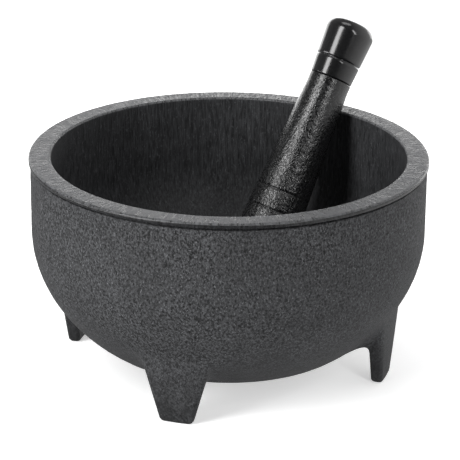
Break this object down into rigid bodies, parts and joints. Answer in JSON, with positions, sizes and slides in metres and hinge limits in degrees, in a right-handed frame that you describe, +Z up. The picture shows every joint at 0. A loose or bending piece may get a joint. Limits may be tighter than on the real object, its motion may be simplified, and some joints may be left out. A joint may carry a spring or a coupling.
{
  "type": "molcajete",
  "caption": "Footed round grinding bowl with a flat rim, a darker inner bowl and a loose tapered pestle that leans on the rim and lifts out.",
  "frame": {"origin": "on the bowl's axis, on the surface that its feet stand on", "axes": "+Z up along the bowl's axis, -Y towards the front, the pestle leans towards +X and +Y"},
  "size_m": [0.2, 0.2, 0.1602],
  "materials": {
    "shell": "fine stone-like grain, matte charcoal",
    "liner": "satin dark grey with fine drawn streaks",
    "pestle": "black with a pitted, sparkling surface",
    "cap": "smooth glossy black"
  },
  "bodies": {
    "bowl": {"outer_shell": "shell", "inner_bowl": "liner"},
    "pestle": {"pestle_shaft": "pestle", "pestle_cap": "cap"}
  },
  "joints": [
    {"name": "pestle_lift", "type": "slide", "parent": "bowl", "child": "pestle", "axis": [0, 0, 1], "range_m": [0, 0.12]}
  ]
}
